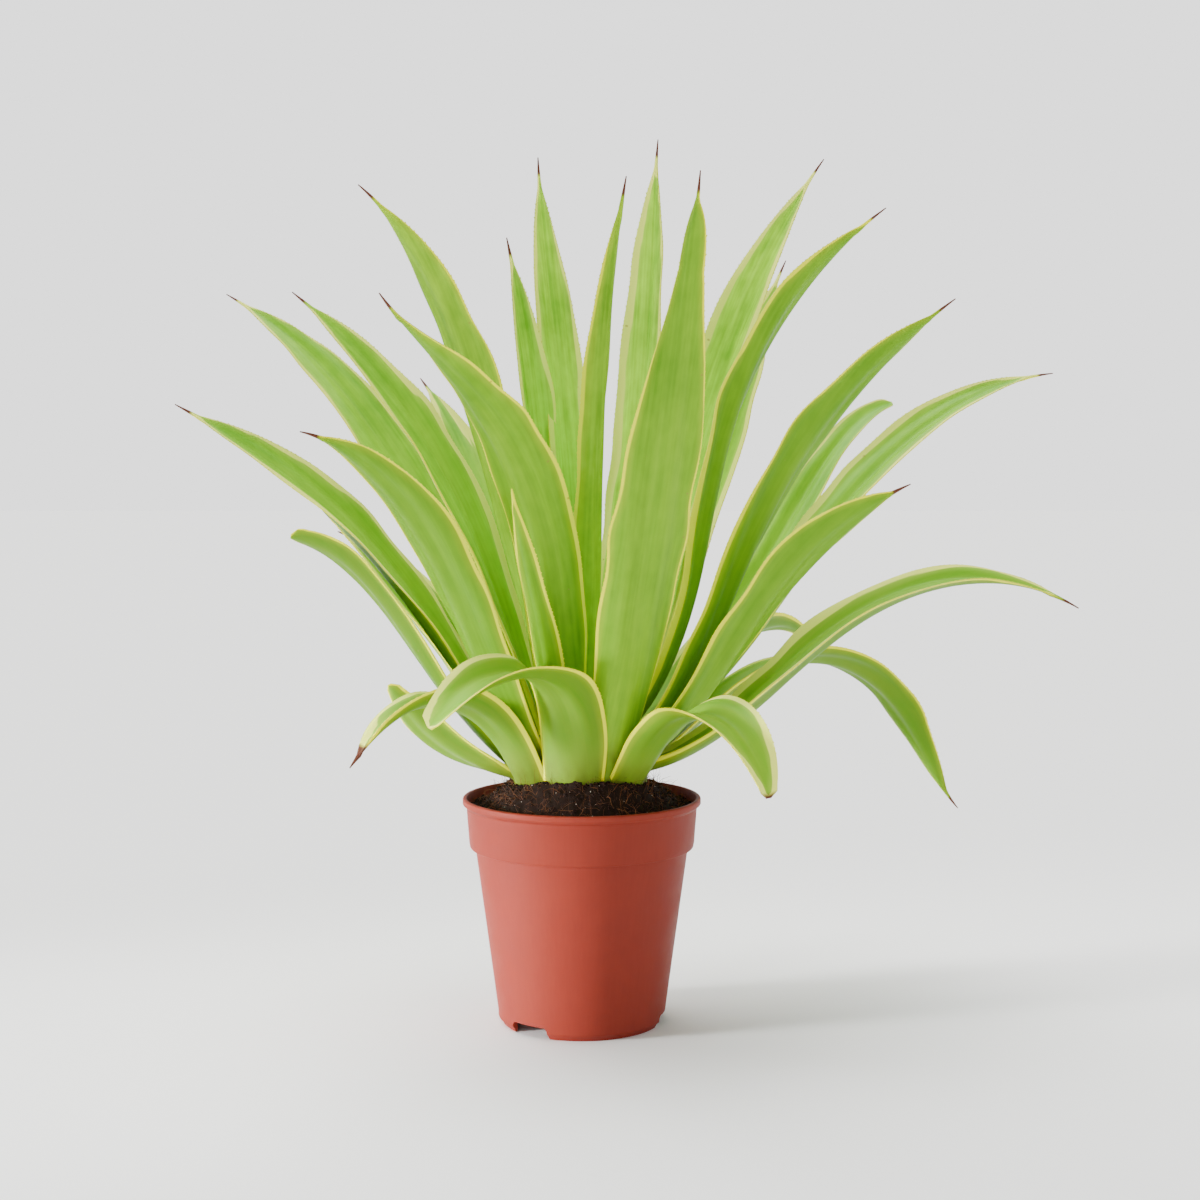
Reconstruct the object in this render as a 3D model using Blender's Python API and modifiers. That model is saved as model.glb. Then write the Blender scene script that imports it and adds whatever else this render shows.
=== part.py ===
"""Potted agave: a variegated rosette of sword leaves in a round nursery pot.

Metres, +Z up. The origin is on the ground, under the pot's axis.
Bearings are in degrees, from +X towards +Y.
"""

from collections import namedtuple
import math

import bpy
import bmesh
from mathutils import Vector

MM = 0.001
GAP = 0.35 * MM  # between pieces that touch

# Pot, in millimetres
POT_HEIGHT = 162.0
RIM_RADIUS = 85.0
BASE_RADIUS = 60.0
WALL = 1.8
FLOOR_HEIGHT = 12.0  # of the raised floor's underside
COLLAR_INSIDE = 4.6  # how far the collar's inner face is in from the rim at its top
BODY_INSIDE = 11.4  # how far the body's inner face is in from the rim at its top
SHOULDER = 40.4  # how far the body's inner face starts below the top
PAD_RADIUS = 14.0  # of the middle of the floor, which dips to the ground
DRAIN_HOLES = 6
DRAIN_RADIUS = 4.5
DRAIN_RING = 38.0  # radius of the ring that the drain holes stand on
NOTCHES = 3
NOTCH_BEARING = 111.5
NOTCH_WIDTH = 29.0
NOTCH_HEIGHT = 8.5
POT_STEPS = 48

# Soil, in millimetres
SOIL_EDGE = 157.0  # height of the soil where it meets the pot
SOIL_TOP = 178.0  # height of the soil where it meets the crown
SOIL_STEPS = 36

# Crown, the short stem that every leaf grows from: (radius, height over the soil's top), in millimetres
CROWN = ((0, 60), (8, 57), (22, 48), (35, 36), (45, 24), (52, 12), (55, 0), (45, -30), (0, -30))
CROWN_STEPS = 30

# Leaves
ROW_SPACING = 34.0  # along a leaf, about, in millimetres
FEWEST_ROWS = 7
COLUMNS = 4  # across a leaf
ROOTED = 4.0  # how far a leaf's midrib starts inside the crown, in millimetres
BASE_THICKNESS = 8.0
TIP_THICKNESS = 1.4
EDGE_THICKNESS = 0.3  # of the margin, as a share of the thickness at the midrib
NECK = 0.50  # width at the base, as a share of the widest
WIDEST_FROM, WIDEST_TO = 0.36, 0.40  # shares of its length where a leaf stops widening and starts to taper
TAPER_END = 0.96
SHOULDER_FROM = 0.80
SPINE_FROM = 0.94
SPINE_WIDTH, SPINE_TIP = 2.6, 1.0
THINNING = 2.2  # how soon a leaf thins towards its tip
MIDRIB_STEPS = 120

LEAF_FIELDS = "name bearing height length width rise swing roll taper channel shoulder"
Leaf = namedtuple("Leaf", LEAF_FIELDS, defaults=(2.2, 0.18, 0.0))
# bearing: where on the crown the leaf grows. height: of its root over the soil's top, in millimetres.
# length, width: in millimetres. rise: its slope in degrees at the root, one third, two thirds and the tip.
# swing: how far its bearing has turned at the middle and the tip.
# roll: its twist at the root, middle and tip.
# taper: how late it narrows. channel: how far its margins stand above its midrib, as a share of the width.
# shoulder: the share of its width that it keeps almost to the tip.
LEAVES = (
    Leaf("outer_01", 3, 6, 352, 42, (12, 42, 16, -31), (0, 0), (0, 15, 25), channel=0.24),
    Leaf("outer_02", 28, 4, 362, 40, (24, 19, -42, -44), (0, 2), (0, -15, -35), taper=2.8),
    Leaf("outer_03", 52, 4, 298, 36, (28, 28, 10, -58), (0, 0), (0, -30, -45)),
    Leaf("outer_04", 77, 5, 285, 42, (26, 45, 30, 5), (0, 3), (0, 0, 0)),
    Leaf("outer_05", 105, 4, 295, 42, (30, 46, 20, -10), (0, -3), (0, 0, 0)),
    Leaf("outer_06", 136, 5, 285, 42, (24, 46, 36, 10), (0, -4), (0, 0, 0)),
    Leaf("outer_07", 183, 8, 228, 42, (40, 53, 52, 14), (0, 0), (0, 8, 45), taper=3.4),
    Leaf("outer_08", 190, 2, 112, 36, (14, 26, 48, 60), (0, 0), (0, 35, 50)),
    Leaf("outer_09", 214, 2, 172, 44, (58, 35, -18, -48), (1, 4), (0, 10, 0), channel=0.24),
    Leaf("outer_10", 263, 1, 190, 52, (74, 50, -6, -44), (-32, -59), (0, -5, -20), channel=0.22),
    Leaf("outer_11", 317, 1, 176, 46, (50, 32, -22, -74), (-10, -2), (0, 10, 20), channel=0.22),
    Leaf("middle_01", 176, 17, 354, 48, (46, 55, 40, 28), (0, -2), (0, -14, -50)),
    Leaf("middle_02", 213, 19, 292, 50, (54, 65, 52, 10), (0, 4), (0, 15, 40)),
    Leaf("middle_03", 341, 15, 272, 50, (33, 56, 47, 24), (0, 0), (0, -20, -50), taper=2.8),
    Leaf("middle_04", 352, 23, 384, 52, (44, 66, 54, 36), (0, -2), (0, -20, -50), taper=2.4),
    Leaf("middle_05", 21, 16, 450, 40, (30, 52, 39, 6), (0, -2), (0, 15, 40), taper=3.0),
    Leaf("middle_06", 46, 18, 404, 37, (34, 40, 50, 10), (-2, -6), (0, 5, 30)),
    Leaf("middle_07", 154, 13, 248, 36, (46, 48, 45, 36), (0, 0), (0, -10, -25)),
    Leaf("middle_08", 128, 15, 210, 34, (48, 48, 50, 48), (0, 0), (0, -5, -20)),
    Leaf("middle_09", 95, 19, 310, 36, (42, 58, 50, 30), (0, 0), (0, 0, 0)),
    Leaf("middle_10", 72, 18, 300, 35, (40, 55, 50, 40), (0, 0), (0, 0, 0)),
    Leaf("inner_01", 145, 30, 458, 47, (48, 56, 43, 25), (0, 2), (0, -20, -45)),
    Leaf("inner_02", 170, 35, 372, 46, (70, 68, 53, 36), (-6, -11), (0, -20, -50)),
    Leaf("inner_03", 119, 22, 355, 44, (54, 55, 48, 34), (0, 5), (0, -10, -30)),
    Leaf("inner_04", 247, 30, 392, 48, (78, 68, 34, 36), (-4, -5), (0, 5, -25), channel=0.22),
    Leaf("inner_05", 296, 14, 410, 54, (62, 71, 74, 79), (0, -2), (0, -10, -65), taper=1.3, shoulder=0.25),
    Leaf("inner_06", 3, 34, 420, 52, (46, 78, 64, 36), (0, 0), (0, -15, -50), taper=2.4, channel=0.22),
    Leaf("inner_07", 52, 31, 422, 44, (48, 57, 62, 51), (0, 0), (0, 10, 35)),
    Leaf("heart_01", 199, 40, 398, 50, (86, 75, 71, 38), (0, -1), (0, 20, 45), taper=2.4, channel=0.22),
    Leaf("heart_02", 250, 18, 206, 20, (80, 66, 60, 68), (0, 0), (0, 0, 0)),
    Leaf("heart_03", 158, 46, 338, 34, (82, 87, 83, 77), (0, 0), (0, -20, -45), taper=2.6),
    Leaf("heart_04", 114, 52, 401, 33, (86, 83, 74, 84), (0, 0), (0, 8, -30), taper=3.0),
    Leaf("heart_05", 98, 43, 290, 34, (58, 64, 72, 78), (0, 0), (0, 0, 0)),
    Leaf("heart_06", 55, 50, 420, 40, (67, 76, 84, 82), (0, 0), (0, -10, 10), taper=3.0),
    Leaf("heart_07", 29, 45, 446, 46, (58, 72, 66, 51), (0, -1), (0, 20, 50)),
    Leaf("heart_08", 320, 54, 366, 26, (87, 88, 84, 77), (0, 0), (0, 0, -5), channel=0.3, taper=2.6),
)

# Leaves that touch: the first gives way to the second.
PRESSED = (("heart_04", "heart_03"), ("heart_04", "heart_06"), ("middle_10", "middle_09"))

LEAF_GREEN = (0.19, 0.36, 0.035)
TERRACOTTA = (0.53, 0.12, 0.06)
PEAT = (0.018, 0.010, 0.006)
PALE_GREEN = (0.42, 0.50, 0.16)


def material(name, colour, roughness):
    made = bpy.data.materials.new(name)
    made.use_nodes = True
    shader = made.node_tree.nodes["Principled BSDF"]
    shader.inputs["Base Color"].default_value = (*colour, 1)
    shader.inputs["Roughness"].default_value = roughness
    made.diffuse_color = (*colour, 1)
    return made


def new_collection(name):
    made = bpy.data.collections.new(name)
    bpy.context.scene.collection.children.link(made)
    return made


def new_object(name, mesh, collection, finish=None):
    made = bpy.data.objects.new(name, mesh)
    collection.objects.link(made)
    if finish:
        mesh.materials.append(finish)
    return made


def mesh_of(name, form):
    """The bmesh as a named mesh, and the bmesh is freed."""
    made = bpy.data.meshes.new(name)
    form.to_mesh(made)
    form.free()
    return made


def hide_cutter(cutter):
    cutter.hide_render = True
    cutter.display_type = "WIRE"


def cut(piece, cutter):
    modifier = piece.modifiers.new("Cut " + cutter.name, "BOOLEAN")
    modifier.operation = "DIFFERENCE"
    modifier.solver = "EXACT"
    modifier.object = cutter


def turned(name, profile, steps, collection, finish=None):
    """A solid turned round Z, from (radius, height) points in millimetres that run down its outer side."""
    form = bmesh.new()
    points = [form.verts.new((radius * MM, 0, height * MM)) for radius, height in profile]
    on_axis = profile[0][0] == 0 and profile[-1][0] == 0
    ends = points[1:] if on_axis else points[1:] + points[:1]
    for start, end in zip(points, ends):
        form.edges.new((start, end))
    piece = new_object(name, mesh_of(name, form), collection, finish)
    screw = piece.modifiers.new("Turn", "SCREW")
    screw.steps = steps
    screw.render_steps = steps
    screw.use_merge_vertices = True
    screw.merge_threshold = 0.00005
    return piece


def pot_wall():
    """The pot's section, once round: rim lip, deep collar, tapered body, foot ring, raised floor, inside."""
    ring = BASE_RADIUS
    top = POT_HEIGHT
    floor = FLOOR_HEIGHT + WALL
    outside = [
        (RIM_RADIUS - 2.6, top),
        (RIM_RADIUS - 0.7, top),
        (RIM_RADIUS, top - 0.9),
        (RIM_RADIUS, top - 4.4),
        (RIM_RADIUS - 0.8, top - 5.8),
        (RIM_RADIUS - 2.5, top - 6.6),
        (RIM_RADIUS - 4.4, top - 33.5),
        (RIM_RADIUS - 5.4, top - 34.8),
        (RIM_RADIUS - 9.4, top - 35.6),
        (RIM_RADIUS - 9.6, top - 40.0),
        (ring, 8.0),
        (ring - 1.2, 2.4),
        (ring - 3.0, 0.0),
    ]
    underside = [
        (ring - 4.4, 0.0),
        (ring - 3.0, 2.6),
        (ring - 1.7, FLOOR_HEIGHT),
        (PAD_RADIUS + 6.0, FLOOR_HEIGHT),
        (PAD_RADIUS, 0.0),
        (0.0, 0.0),
    ]
    inside = [
        (0.0, WALL),
        (PAD_RADIUS - 1.0, WALL),
        (PAD_RADIUS + 4.8, floor),
        (ring - 1.3, floor),
        (RIM_RADIUS - BODY_INSIDE, top - SHOULDER),
        (RIM_RADIUS - BODY_INSIDE + 0.2, top - 34.6),
        (RIM_RADIUS - COLLAR_INSIDE - 2.2, top - 32.6),
        (RIM_RADIUS - COLLAR_INSIDE, top - 6.4),
    ]
    return outside + underside + inside


def polar(radius, bearing, height):
    """A place in millimetres, from its radius, its bearing in radians and its height."""
    return Vector((radius * math.cos(bearing), radius * math.sin(bearing), height))


def notch_cutter(number, collection):
    """A wedge over one foot notch, deeper than the foot ring's wall."""
    form = bmesh.new()
    bmesh.ops.create_cube(form, size=1)
    inner, outer = BASE_RADIUS - 10, BASE_RADIUS + 6
    middle = NOTCH_BEARING + 360 / NOTCHES * number
    for corner in form.verts:
        radius = outer if corner.co.x > 0 else inner
        bearing = middle + math.copysign(NOTCH_WIDTH / 2, corner.co.y)
        height = NOTCH_HEIGHT if corner.co.z > 0 else -4.0
        corner.co = polar(radius, math.radians(bearing), height) * MM
    cutter = new_object(f"notch_cutter_{number + 1}", mesh_of("notch_cutter", form), collection)
    hide_cutter(cutter)
    return cutter


def drain_cutter(number, collection):
    """A peg through the floor, over one drain hole."""
    form = bmesh.new()
    radius = DRAIN_RADIUS * MM
    depth = 12 * MM
    bmesh.ops.create_cone(form, cap_ends=True, segments=16, radius1=radius, radius2=radius, depth=depth)
    cutter = new_object(f"drain_cutter_{number + 1}", mesh_of("drain_cutter", form), collection)
    bearing = math.radians(360 / DRAIN_HOLES * (number + 0.5))
    cutter.location = polar(DRAIN_RING, bearing, FLOOR_HEIGHT + WALL / 2) * MM
    hide_cutter(cutter)
    return cutter


def make_pot(parts, cutters):
    pot = turned("pot", pot_wall(), POT_STEPS, parts, material("Terracotta plastic", TERRACOTTA, 0.5))
    for number in range(NOTCHES):
        cut(pot, notch_cutter(number, cutters))
    for number in range(DRAIN_HOLES):
        cut(pot, drain_cutter(number, cutters))
    pot.data.shade_smooth()
    pot.data.set_sharp_from_angle(angle=math.radians(35))


def crown_radius(height):
    """Radius of the crown, in millimetres, at a height over the soil's top."""
    for (radius, top), (wider, bottom) in zip(CROWN, CROWN[1:]):
        if bottom <= height <= top:
            return radius + (wider - radius) * (top - height) / (top - bottom)
    raise ValueError(f"the crown doesn't reach {height} mm")


def crown_profile(gap=0.0):
    """(radius, height) down the crown's outside, that far outside its surface."""
    profile = []
    for radius, height in CROWN:
        wider = radius + gap if radius else 0.0
        higher = height + gap if height > 0 else height - gap
        profile.append((wider, SOIL_TOP + higher))
    return profile


def make_crown(parts):
    crown = turned("crown", crown_profile(), CROWN_STEPS, parts, material("Pale stem", PALE_GREEN, 0.6))
    crown.data.shade_smooth()


def soil_surface():
    """The mound, from the crown out to the pot."""
    crown_edge = crown_radius(0)
    edge = RIM_RADIUS - COLLAR_INSIDE - 0.3 - GAP / MM
    rise = SOIL_TOP - SOIL_EDGE
    return [
        (crown_edge, SOIL_TOP),
        ((crown_edge + edge) / 2, SOIL_EDGE + 0.62 * rise),
        (edge - 4, SOIL_EDGE + 0.12 * rise),
        (edge, SOIL_EDGE),
    ]


def make_soil(parts):
    """The soil fills the pot, a gap inside it, with a socket for the crown."""
    gap = GAP / MM
    floor = FLOOR_HEIGHT + WALL + gap
    socket_radius, socket_height = CROWN[-2]
    surface = soil_surface()
    profile = [(surface[0][0] + gap, SOIL_TOP)] + surface[1:]
    profile += [
        (RIM_RADIUS - COLLAR_INSIDE - 2.4 - gap, POT_HEIGHT - 32.4),
        (RIM_RADIUS - BODY_INSIDE - gap, POT_HEIGHT - 34.4),
        (RIM_RADIUS - BODY_INSIDE - 0.2 - gap, POT_HEIGHT - SHOULDER),
        (BASE_RADIUS - 1.6 - gap, floor),
        (PAD_RADIUS + 4.6 - gap, floor),
        (PAD_RADIUS - 1.2 - gap, WALL + gap),
        (0.0, WALL + gap),
        (0.0, SOIL_TOP + socket_height - gap),
        (socket_radius + gap, SOIL_TOP + socket_height - gap),
    ]
    turned("soil", profile, SOIL_STEPS, parts, material("Peat soil", PEAT, 0.95))


def ground_cutter(cutters):
    """What leaves stay clear of: the crown and the soil's surface, with the gap."""
    gap = GAP / MM
    above = [point for point in crown_profile(gap) if point[1] > SOIL_TOP]
    surface = [(radius, height + gap) for radius, height in soil_surface()]
    surface[0] = (crown_radius(0) + gap, SOIL_TOP + gap)
    below = [(RIM_RADIUS - 5, SOIL_EDGE - 20), (0.0, SOIL_EDGE - 20)]
    cutter = turned("ground_cutter", above + surface + below, CROWN_STEPS, cutters)
    hide_cutter(cutter)
    return cutter


def along(values, share):
    """The smooth run through evenly spaced values, at a share of the way along."""
    last = len(values) - 1
    total = 0.0
    for i, value in enumerate(values):
        weight = 1.0
        for j in range(last + 1):
            if j != i:
                weight *= (share * last - j) / (i - j)
        total += weight * value
    return total


def clamp(value):
    return min(max(value, 0.0), 1.0)


def heading(leaf, share):
    """Bearing and slope of the midrib, in radians."""
    bearing = math.radians(leaf.bearing + along((0, *leaf.swing), share))
    return bearing, math.radians(along(leaf.rise, share))


def midrib(leaf, share):
    """Where the midrib runs, in millimetres: its root, and the sum of short steps along its heading."""
    bearing = math.radians(leaf.bearing)
    place = polar(crown_radius(leaf.height) - ROOTED, bearing, SOIL_TOP + leaf.height)
    stride = leaf.length / MIDRIB_STEPS
    for step in range(round(share * MIDRIB_STEPS)):
        bearing, slope = heading(leaf, (step + 0.5) / MIDRIB_STEPS)
        place += stride * polar(math.cos(slope), bearing, math.sin(slope))
    return place


def blade_width(leaf, share):
    """A narrower neck, the widest part before the middle, a long taper, and the spine."""
    widening = NECK + (1 - NECK) * math.sin(math.pi / 2 * clamp(share / WIDEST_FROM))
    taper = 1 - clamp((share - WIDEST_TO) / (TAPER_END - WIDEST_TO)) ** leaf.taper
    shoulder = leaf.shoulder * (1 - clamp((share - SHOULDER_FROM) / (TAPER_END - SHOULDER_FROM)) ** 2)
    spine = SPINE_WIDTH + (SPINE_TIP - SPINE_WIDTH) * clamp((share - SPINE_FROM) / (1 - SPINE_FROM))
    return max(leaf.width * widening * max(taper, shoulder), spine)


def blade_point(leaf, share, side):
    """A point of the blade's middle surface: share along the midrib, and side from -1 to 1 across."""
    bearing, slope = heading(leaf, share)
    roll = math.radians(along(leaf.roll, share))
    flat = Vector((-math.sin(bearing), math.cos(bearing), 0))
    facing = polar(-math.sin(slope), bearing, math.cos(slope))
    across = flat * math.cos(roll) + facing * math.sin(roll)
    up = facing * math.cos(roll) - flat * math.sin(roll)
    width = blade_width(leaf, share)
    return midrib(leaf, share) + across * (width / 2 * side) + up * (leaf.channel * width * side * side)


def thickness_share(share, side):
    """Thickness over the base's: fleshy at the root and the midrib, thin at the tip and the margins."""
    thin = TIP_THICKNESS / BASE_THICKNESS
    midrib_share = thin + (1 - thin) * (1 - share) ** THINNING
    return midrib_share * (1 - (1 - EDGE_THICKNESS) * side * side * (1 - share))


def make_leaf(leaf, finish, parts, spare=0.0):
    """A grid laid along the midrib, which Solidify makes a blade. Spare makes it larger all round."""
    form = bmesh.new()
    rows = max(FEWEST_ROWS, round(leaf.length / ROW_SPACING))
    bmesh.ops.create_grid(form, x_segments=COLUMNS, y_segments=rows, size=1)
    weights = form.verts.layers.deform.new()
    thickest = BASE_THICKNESS + 2 * spare
    for vertex in form.verts:
        share, side = (vertex.co.y + 1) / 2, vertex.co.x
        vertex[weights][0] = (BASE_THICKNESS * thickness_share(share, side) + 2 * spare) / thickest
        wider = 1 + 2 * spare / blade_width(leaf, share)
        vertex.co = blade_point(leaf, share, side * wider) * MM
    piece = new_object("leaf_" + leaf.name, mesh_of(leaf.name, form), parts, finish)
    piece.vertex_groups.new(name="thickness")
    solidify = piece.modifiers.new("Flesh", "SOLIDIFY")
    solidify.thickness = thickest * MM
    solidify.offset = 0
    solidify.vertex_group = "thickness"
    piece.data.shade_smooth()
    return piece


def leaf_cutter(leaf, cutters):
    """The leaf with the gap all round."""
    cutter = make_leaf(leaf, None, cutters, GAP / MM)
    cutter.name = "room_for_" + leaf.name
    hide_cutter(cutter)
    return cutter


def make_leaves(parts, cutters):
    ground = ground_cutter(cutters)
    finish = material("Agave leaf", LEAF_GREEN, 0.45)
    leaves = {leaf.name: leaf for leaf in LEAVES}
    pieces = {name: make_leaf(leaf, finish, parts) for name, leaf in leaves.items()}
    for piece in pieces.values():
        cut(piece, ground)
    for name, pressing in PRESSED:
        cut(pieces[name], leaf_cutter(leaves[pressing], cutters))


def main():
    for old in list(bpy.data.objects):
        bpy.data.objects.remove(old)
    parts = new_collection("potted agave")
    cutters = new_collection("cutters")
    cutters.hide_render = True
    make_pot(parts, cutters)
    make_soil(parts)
    make_crown(parts)
    make_leaves(parts, cutters)


main()
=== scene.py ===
"""Potted agave: a variegated rosette in a terracotta-coloured nursery pot.

Each operator makes one piece or one ring of leaves around the fixed frame. Metres, +Z up, and bearings
from +X towards +Y. The plant's form is given in millimetres and degrees.
"""

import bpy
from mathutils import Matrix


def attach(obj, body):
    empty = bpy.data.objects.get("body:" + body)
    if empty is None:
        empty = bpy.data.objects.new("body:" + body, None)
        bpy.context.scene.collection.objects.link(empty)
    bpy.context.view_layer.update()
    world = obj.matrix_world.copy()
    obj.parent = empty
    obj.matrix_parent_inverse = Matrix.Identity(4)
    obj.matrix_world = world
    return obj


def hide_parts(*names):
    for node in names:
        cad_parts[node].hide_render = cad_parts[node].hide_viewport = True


bl_info = {
    "name": "Potted Agave",
    "version": (1, 0, 0),
    "blender": (4, 5, 0),
    "location": "3D View > Sidebar > Agave",
    "description": "Models a potted variegated agave leaf by leaf, with its pot, soil and studio",
    "category": "Add Mesh",
}

from collections import namedtuple
import math
import random

import bmesh
import bpy
import numpy as np
from bpy.props import FloatProperty, FloatVectorProperty, IntProperty, PointerProperty
from bpy.types import Operator, Panel, PropertyGroup
from mathutils import Vector, noise

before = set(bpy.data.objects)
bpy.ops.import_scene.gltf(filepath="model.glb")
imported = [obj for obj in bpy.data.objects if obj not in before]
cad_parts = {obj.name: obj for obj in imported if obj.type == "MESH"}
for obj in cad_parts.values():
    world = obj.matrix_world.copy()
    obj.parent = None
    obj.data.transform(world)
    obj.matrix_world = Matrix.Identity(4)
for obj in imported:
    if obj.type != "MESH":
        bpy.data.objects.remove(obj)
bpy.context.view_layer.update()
MM = 0.001

# ---- the plant's form

SOIL_TOP = 178.0
# the stem's section, from its tip down: each pair is a radius and its height over the soil's top
CROWN = ((0, 60), (8, 57), (22, 48), (35, 36), (45, 24), (52, 12), (55, 0), (45, -30), (0, -30))
ROOTED = 4.0
MIDRIB_STEPS = 120
BURIED = 16.0  # how far a blade goes on below its root, turning down into the soil
BURIED_STEPS = 16
BURIED_SLOPE = 84.0
BURIED_TURN = 1.6  # how many times sooner it has turned down than it ends
BASE_THICKNESS = 8.0
TIP_THICKNESS = 1.4
THINNING = 2.2
MARGIN_THICKNESS, MARGIN_AT_ROOT = 0.7, 0.5
CROWDING = 0.35  # how much the columns of a blade gather towards its margins
WIDEST_FROM, WIDEST_TO = 0.36, 0.40
TAPER_END = 0.96
BLUNT_RUN = 0.041
SHOULDER_FROM = 0.80
SPINE_FROM = 0.94
SPINE_WIDTH, SPINE_TIP = 3.0, 0.6
SPINE_ROUND, BLADE_FLAT = 2.6, 7.0  # the widths between which a section goes from round to flat
SPINE_FADE = 4.0
BULGE, FOLD = 0.045, 0.028  # of the margins and the blade, as shares of its width
WAVE = 0.9  # of the margins, up and down
TOOTHED_FROM, TOOTHED_RUN, TOOTHED_BLUNT = 0.30, 0.62, 0.86
TOOTHED_WIDTH = 4.0
INNER, MARGIN = 1, 2  # material slots, after the outer face's

FORM = "name bearing height length width rise swing roll taper channel shoulder"
Leaf = namedtuple("Leaf", FORM + " blunt withered neck stripe", defaults=(2.2, 0.18, 0.0, 0.0, 0.0, 0.0, 1.0))
# bearing: where on the crown the leaf grows. height: of its root over the soil's top.
# rise: its slope at the root, one third, two thirds and the tip.
# swing: how far its bearing has turned at the middle and the tip.
# roll: its twist at the middle and the tip.
# taper: how late it narrows. channel: how far its margins stand above its midrib, as a share of the width.
# shoulder: the share of its width that it keeps almost to the tip.
# blunt: the tip's width as a share of the widest, where the spine is lost.
# withered: how far the tip has dried to brown. neck: the base's width as a share of the widest.
# stripe: how many times broader than usual its yellow margins are.
LEAVES = (
    Leaf("outer_01", 3, 6, 352, 42, (12, 42, 16, -31), (0, 0), (15, 25), channel=0.24, stripe=1.5),
    Leaf("outer_02", 28, 4, 362, 40, (24, 19, -42, -44), (0, 2), (-15, -35), taper=2.8),
    Leaf("outer_03", 52, 4, 298, 36, (28, 28, 10, -58), (0, 0), (-30, -45), stripe=2.0),
    Leaf("outer_04", 77, 5, 285, 42, (26, 45, 30, 5), (0, 3), (0, 0)),
    Leaf("outer_05", 105, 4, 295, 42, (30, 46, 20, -10), (0, -3), (0, 0)),
    Leaf("outer_06", 136, 5, 285, 42, (24, 46, 36, 10), (0, -4), (0, 0)),
    Leaf("outer_07", 183, 8, 228, 42, (40, 53, 52, 14), (0, 0), (8, 45), taper=3.4, blunt=0.4, withered=2),
    Leaf("outer_08", 190, 2, 112, 36, (14, 26, 48, 60), (0, 0), (35, 50), blunt=0.34),
    Leaf(
        "outer_09", 214, 2, 172, 44, (58, 35, -18, -48), (1, 4), (10, 0),
        channel=0.24, withered=4, neck=0.84, stripe=1.3,
    ),
    Leaf(
        "outer_10", 263, 1, 190, 52, (74, 50, -6, -44), (-32, -59), (-5, -20),
        channel=0.22, blunt=0.42, neck=0.8, stripe=1.2,
    ),
    Leaf(
        "outer_11", 317, 1, 176, 46, (50, 32, -22, -74), (-10, -2), (10, 20),
        channel=0.22, blunt=0.3, withered=6, neck=0.78,
    ),
    Leaf("middle_01", 176, 17, 354, 48, (46, 55, 40, 28), (0, -2), (-14, -50)),
    Leaf("middle_02", 213, 19, 292, 50, (54, 65, 52, 10), (0, 4), (15, 40)),
    Leaf("middle_03", 341, 15, 272, 50, (33, 56, 47, 24), (0, 0), (-20, -50), taper=2.8),
    Leaf("middle_04", 352, 23, 384, 52, (44, 66, 54, 36), (0, -2), (-20, -50), taper=2.4),
    Leaf("middle_05", 21, 16, 450, 40, (30, 52, 39, 6), (0, -2), (15, 40), taper=3.0),
    Leaf("middle_06", 46, 18, 404, 37, (34, 40, 50, 10), (-2, -6), (5, 30), blunt=0.4, withered=1),
    Leaf("middle_07", 154, 13, 248, 36, (46, 48, 45, 36), (0, 0), (-10, -25), stripe=1.8),
    Leaf("middle_08", 128, 15, 210, 34, (48, 48, 50, 48), (0, 0), (-5, -20), stripe=2.0),
    Leaf("middle_09", 95, 19, 310, 36, (42, 58, 50, 30), (0, 0), (0, 0)),
    Leaf("middle_10", 72, 18, 300, 35, (40, 55, 50, 40), (0, 0), (0, 0)),
    Leaf("inner_01", 145, 30, 458, 47, (48, 56, 43, 25), (0, 2), (-20, -45)),
    Leaf("inner_02", 170, 35, 372, 46, (70, 68, 53, 36), (-6, -11), (-20, -50), stripe=1.6),
    Leaf("inner_03", 119, 22, 355, 44, (54, 55, 48, 34), (0, 5), (-10, -30), stripe=2.4),
    Leaf("inner_04", 247, 30, 392, 48, (78, 68, 34, 36), (-4, -5), (5, -25), channel=0.22),
    Leaf("inner_05", 296, 14, 410, 54, (62, 71, 74, 79), (0, -2), (-10, -65), taper=1.6, shoulder=0.3),
    Leaf(
        "inner_06", 3, 34, 420, 52, (46, 78, 64, 36), (0, 0), (-15, -50),
        taper=2.4, channel=0.22, stripe=2.6,
    ),
    Leaf("inner_07", 52, 31, 422, 44, (48, 57, 62, 51), (0, 0), (10, 35), stripe=1.5),
    Leaf("heart_01", 199, 40, 398, 50, (86, 75, 71, 38), (0, -1), (20, 45), taper=2.4, channel=0.22),
    Leaf("heart_02", 250, 18, 206, 20, (80, 66, 60, 68), (0, 0), (0, 0), blunt=0.1),
    Leaf("heart_03", 158, 46, 338, 34, (82, 87, 83, 77), (0, 0), (-20, -45), taper=2.6),
    Leaf("heart_04", 114, 52, 401, 33, (86, 83, 74, 84), (0, 0), (8, -30), taper=3.0),
    Leaf("heart_05", 98, 43, 290, 34, (58, 64, 72, 78), (0, 0), (0, 0)),
    Leaf("heart_06", 55, 50, 420, 40, (67, 76, 84, 82), (0, 0), (-10, 10), taper=3.0, stripe=1.8),
    Leaf("heart_07", 29, 45, 446, 46, (58, 72, 66, 51), (0, -1), (20, 50), stripe=1.3),
    Leaf("heart_08", 320, 54, 366, 26, (87, 88, 84, 77), (0, 0), (0, -5), channel=0.3, taper=2.6),
)

STRIPE_RUN = 330.0  # length of a leaf whose yellow stripe thins before the tip
YOUTH = {"outer": 0.0, "middle": 0.4, "inner": 0.6, "heart": 1.0, "heart_02": 0.5}

# ---- colours and nodes


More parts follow.
